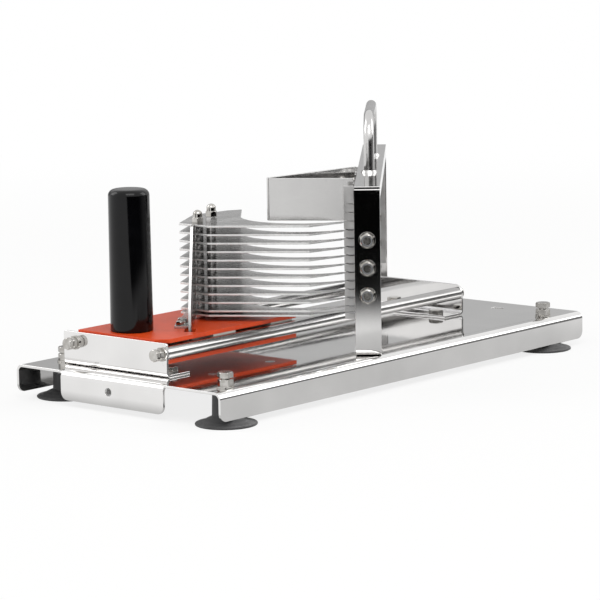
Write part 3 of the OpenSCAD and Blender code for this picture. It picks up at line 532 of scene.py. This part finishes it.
def lockNutRings(s, bm):
    flats, half, top, seat, edge = s["flats"], s["flats"] / 2, s["height"], s["washerHeight"], s["edge"]
    corner, washer, bore = flats / math.cos(math.pi / 6), s["washer"] / 2, s["bolt"] / 2 + s["boltGap"]
    turned = 4 * washer  # flats this wide lie outside the circle, which alone remains
    section = [
        (turned, 2 * bore, 0), (turned, 2 * (washer - edge), 0), (turned, 2 * washer, edge),
        (turned, 2 * washer, seat - edge), (turned, 2 * (washer - edge), seat),
        (flats - edge, flats - edge, seat), (flats, corner, seat + 2 * edge),
        (flats, corner, top - s["collar"] - s["roll"]),
        (flats, corner - s["cornerCut"], top - s["collar"] - edge / 2),
        (turned, 2 * half - edge, top - s["collar"]), (turned, 2 * (half - s["roll"]), top - s["roll"]),
        (turned, 2 * (half - s["lip"]), top), (turned, 2 * (bore + s["ring"]), top),
        (turned, 2 * (bore + s["ring"]) - edge / 2, top - s["sink"]), (turned, 2 * bore, top - s["sink"]),
    ]
    return [cutHexagon(bm, across, over, height, s["steps"]) for across, over, height in section]


def addLockNut(s, bm, placing):
    rings = lockNutRings(s, bm)
    for ring in rings:
        for vert in ring:
            vert.co = placing @ vert.co
    for low, high in zip(rings, rings[1:] + rings[:1]):
        for k in range(s["steps"]):
            j = (k + 1) % s["steps"]
            bm.faces.new((low[k], low[j], high[j], high[k]))
    return len(rings)


def nutCentres():
    # the middle of each of the node's separate solids
    bm = bmesh.new()
    bm.from_mesh(frame["nodes"]["comb_nuts"].data)
    bmesh.ops.remove_doubles(bm, verts=bm.verts, dist=easing["weldMm"] * mm)
    left, centres = set(bm.verts), []
    while left:
        group = {left.pop()}
        edge = list(group)
        while edge:
            vert = edge.pop()
            for other in [link.other_vert(vert) for link in vert.link_edges]:
                if other in left:
                    left.discard(other)
                    group.add(other)
                    edge.append(other)
        spots = [vert.co for vert in group]
        low = Vector([min(spot[i] for spot in spots) for i in range(3)])
        high = Vector([max(spot[i] for spot in spots) for i in range(3)])
        centres.append((low + high) / 2)
    bm.free()
    return centres


def makeLockNuts(s):
    along = Vector((math.cos(math.radians(bladeTurn)), math.sin(math.radians(bladeTurn)), 0))
    upward = Vector((0, 0, 1))
    centres = nutCentres()
    middle = sum(centres, Vector()) / len(centres)
    bm = bmesh.new()
    for centre in centres:
        outward = -along if (centre - middle).dot(along) < 0 else along
        axes = Matrix((upward.cross(outward), upward, outward)).transposed().to_4x4()
        seat = centre - outward * (s["height"] / 2 * mm)
        bands = addLockNut(s, bm, Matrix.Translation(seat) @ axes)
    bmesh.ops.recalc_face_normals(bm, faces=bm.faces)
    piece = linkMesh(pieceName("comb_nuts"), bm)
    smoothByAngle(piece.data, s["smooth"])
    finishPiece(piece, "comb_nuts", platedFastener)
    piece.data.materials.append(mouldedNylon)
    for k, face in enumerate(piece.data.polygons):
        band = k // s["steps"] % bands
        face.material_index = int(band >= s["nylonFrom"])


makeLockNuts(lockNut)
print("locking nuts made")


# studio, in metres: white surroundings, which the camera and polished steel see, and plainer light
# on the object

def directlySeen(tree, path):
    # 1 where the camera, a reflection or clear stuff looks, 0 for the light that falls on the object
    mirrored = addNode(tree, "Math", {"operation": "MAXIMUM"},
                       {0: path.outputs["Is Glossy Ray"], 1: path.outputs["Is Transmission Ray"]})
    seen = addNode(tree, "Math", {"operation": "MAXIMUM"},
                   {0: path.outputs["Is Camera Ray"], 1: mirrored.outputs[0]})
    return seen.outputs[0]


def distanceFade(tree, start, end):
    spot = addNode(tree, "NewGeometry").outputs["Position"]
    away = addNode(tree, "VectorMath", {"operation": "LENGTH"}, {0: spot})
    fade = addNode(tree, "MapRange", {"interpolation_type": "SMOOTHSTEP", "From Min": start,
                                      "From Max": end}, {"Value": away.outputs["Value"]})
    return fade.outputs[0]


def placeAxes(tree):
    return addNode(tree, "SeparateXYZ", links={0: addNode(tree, "NewGeometry").outputs["Position"]})


def turnFade(tree, start, end, low=0.0, high=1.0):
    # from low to high between two directions, in degrees about the object
    axes = placeAxes(tree)
    turn = addNode(tree, "Math", {"operation": "ARCTAN2"}, {0: axes.outputs["Y"], 1: axes.outputs["X"]})
    fade = addNode(tree, "MapRange", {"From Min": math.radians(start), "From Max": math.radians(end),
                                      "To Min": low, "To Max": high}, {"Value": turn.outputs[0]})
    return fade.outputs[0]


worldLight = {"ambient": 0.70}


def makeWorld(s):
    world = bpy.data.worlds.new("studioWorld")
    bpy.context.scene.world = world
    world.use_nodes = True
    tree = world.node_tree
    tree.nodes.clear()
    seen = directlySeen(tree, addNode(tree, "LightPath"))
    strength = addNode(tree, "MapRange", {"To Min": s["ambient"], "To Max": 1.0}, {"Value": seen})
    light = addNode(tree, "Background", {"Color": pureWhite}, {"Strength": strength.outputs[0]})
    addNode(tree, "OutputWorld", links={"Surface": light.outputs[0]})


floorPaper = {"colour": "#F4F4F3", "size": 14.0, "sides": 96,
              "fadeFrom": 0.5, "fadeTo": 1.6, "keep": 0.22,  # share of real shade kept near the object
              "nearGlow": 0.57, "glowFrom": 0.24, "glowTo": 0.5,  # painted shade: as steel mirrors it, the paper glows greyer close by
              "frontFrom": -0.20, "frontTo": -0.26,  # but white before the tab
              "shadeMiddle": (0.0, 0.075), "shadeHalf": (0.20, 0.03), "shadeEdge": 0.015}


def besideShade(tree, s):
    # 0 under the base's far side, where the paper lies in its shade, and 1 beside it
    axes, sides = placeAxes(tree), []
    for axis, middle, half in zip("XY", s["shadeMiddle"], s["shadeHalf"]):
        offset = addNode(tree, "Math", {"operation": "SUBTRACT", 1: middle}, {0: axes.outputs[axis]})
        side = addNode(tree, "Math", {"operation": "ABSOLUTE"}, {0: offset.outputs[0]})
        edge = addNode(tree, "MapRange", {"interpolation_type": "SMOOTHSTEP", "From Max": half,
                                          "From Min": half - s["shadeEdge"]}, {"Value": side.outputs[0]})
        sides.append(edge.outputs[0])
    return addNode(tree, "Math", {"operation": "MAXIMUM"}, {0: sides[0], 1: sides[1]}).outputs[0]


def makeFloor(s):
    bm = bmesh.new()
    bmesh.ops.create_circle(bm, cap_ends=True, segments=s["sides"], radius=s["size"])
    floor = linkMesh("studioFloor", bm)
    material, tree = emptyMaterial("paperSweepMatt")
    path = addNode(tree, "LightPath")
    share = addNode(tree, "MapRange", {"To Min": 1 - s["keep"], "To Max": 1.0},
                    {"Value": distanceFade(tree, s["fadeFrom"], s["fadeTo"])})
    lit = addNode(tree, "Math", {"operation": "MULTIPLY"}, {0: share.outputs[0], 1: besideShade(tree, s)})
    blend = addNode(tree, "Math", {"operation": "MULTIPLY"},
                    {0: lit.outputs[0], 1: directlySeen(tree, path)})
    # painted shade: the glow that reflections see is dimmer close to the object
    near = addNode(tree, "MapRange", {"To Min": s["nearGlow"], "To Max": 1.0},
                   {"Value": distanceFade(tree, s["glowFrom"], s["glowTo"])})
    front = addNode(tree, "MapRange", {"From Min": s["frontFrom"], "From Max": s["frontTo"]},
                    {"Value": placeAxes(tree).outputs["X"]})
    mirrored = addNode(tree, "Math", {"operation": "MAXIMUM"}, {0: near.outputs[0], 1: front.outputs[0]})
    glow = addNode(tree, "Math", {"operation": "MAXIMUM"},
                   {0: path.outputs["Is Camera Ray"], 1: mirrored.outputs[0]})
    paper = addNode(tree, "BsdfDiffuse", {"Color": hexColour(s["colour"])})
    white = addNode(tree, "Emission", {"Color": pureWhite}, {"Strength": glow.outputs[0]})
    mix = addNode(tree, "MixShader",
                  links={0: blend.outputs[0], 1: paper.outputs[0], 2: white.outputs[0]})
    addNode(tree, "OutputMaterial", links={"Surface": mix.outputs[0]})
    floor.data.materials.append(material)


def makeCurvedCard(name, s, rows, material):
    # a band round the object, through rows of (radius, height), that only reflections see
    bm = bmesh.new()
    steps = s["steps"]
    turns = [math.radians(s["middle"] + s["spread"] * (2 * k / steps - 1)) for k in range(steps + 1)]
    bands = [[bm.verts.new((radius * math.cos(w), radius * math.sin(w), height)) for w in turns]
             for radius, height in rows]
    for low, high in zip(bands, bands[1:]):
        for k in range(steps):
            bm.faces.new((low[k], low[k + 1], high[k + 1], high[k]))
    card = linkMesh(name, bm)
    card.data.materials.append(material)
    card.visible_camera = False
    card.visible_diffuse = False
    card.visible_shadow = False


darkSide = {"black": "#050505", "dim": "#8A8A8A", "dimFrom": -85, "dimTo": -60, "inner": 0.34,
            "fade": 0.2, "outer": 3.2, "lift": 0.002, "height": 0.8, "middle": 272, "spread": 62,
            "steps": 32}


def makeDarkSide(s):
    # painted shade: a black card that only reflections see stands for the unlit part of the studio,
    # towards the camera, and dims to grey on the right
    material, tree = emptyMaterial("blackFlagPaintedShade")
    black = addNode(tree, "BsdfDiffuse", {"Color": hexColour(s["black"])})
    dim = addNode(tree, "BsdfDiffuse", {"Color": hexColour(s["dim"])})
    flagShade = addNode(tree, "MixShader", links={0: turnFade(tree, s["dimFrom"], s["dimTo"]),
                                             1: black.outputs[0], 2: dim.outputs[0]})
    clear = addNode(tree, "BsdfTransparent")
    mix = addNode(tree, "MixShader", links={0: distanceFade(tree, s["inner"], s["inner"] + s["fade"]),
                                            1: clear.outputs[0], 2: flagShade.outputs[0]})
    addNode(tree, "OutputMaterial", links={"Surface": mix.outputs[0]})
    rows = ((s["inner"], s["lift"]), (s["outer"], s["lift"]), (s["outer"], s["height"]))
    makeCurvedCard("studioDarkSide", s, rows, material)


greyCard = {"outer": 3.6, "height": 1.5, "middle": 48, "spread": 44, "right": 0.62, "left": 0.30,
            "steps": 32}


def makeGreyCard(s):
    # painted light: a glowing card that only reflections see stands for the backdrop as polished sheet
    # shows it, with painted shade darker towards the grip's side
    material, tree = emptyMaterial("greyPaperPaintedLight")
    glow = turnFade(tree, s["middle"] - s["spread"], s["middle"] + s["spread"], s["right"], s["left"])
    light = addNode(tree, "Emission", {"Color": pureWhite}, {"Strength": glow})
    addNode(tree, "OutputMaterial", links={"Surface": light.outputs[0]})
    makeCurvedCard("studioGreyCard", s, ((s["outer"], 0.0), (s["outer"], s["height"])), material)


boxAim = (0, 0, 0.06)  # the object's middle
softBoxes = [
    {"name": "keyBox", "place": (-0.9, -1.0, 1.7), "size": (1.4, 1.0), "power": 12.0},
    {"name": "sideBox", "place": (1.3, -1.1, 1.1), "size": (0.9, 1.2), "power": 7.5},
    {"name": "farBox", "place": (-0.8, 1.5, 1.2), "size": (0.9, 1.2), "power": 7.5},
]


def makeSoftBox(s):
    light = bpy.data.lights.new(s["name"], "AREA")
    light.shape = "RECTANGLE"
    light.size, light.size_y = s["size"]
    light.energy = s["power"]
    box = bpy.data.objects.new(s["name"], light)
    bpy.context.scene.collection.objects.link(box)
    box.location = s["place"]
    box.rotation_euler = (Vector(boxAim) - Vector(s["place"])).to_track_quat("-Z", "Y").to_euler()


makeWorld(worldLight)
makeFloor(floorPaper)
makeDarkSide(darkSide)
makeGreyCard(greyCard)
for box in softBoxes:
    makeSoftBox(box)
bpy.context.scene.view_settings.view_transform = "Standard"
print("studio lit")
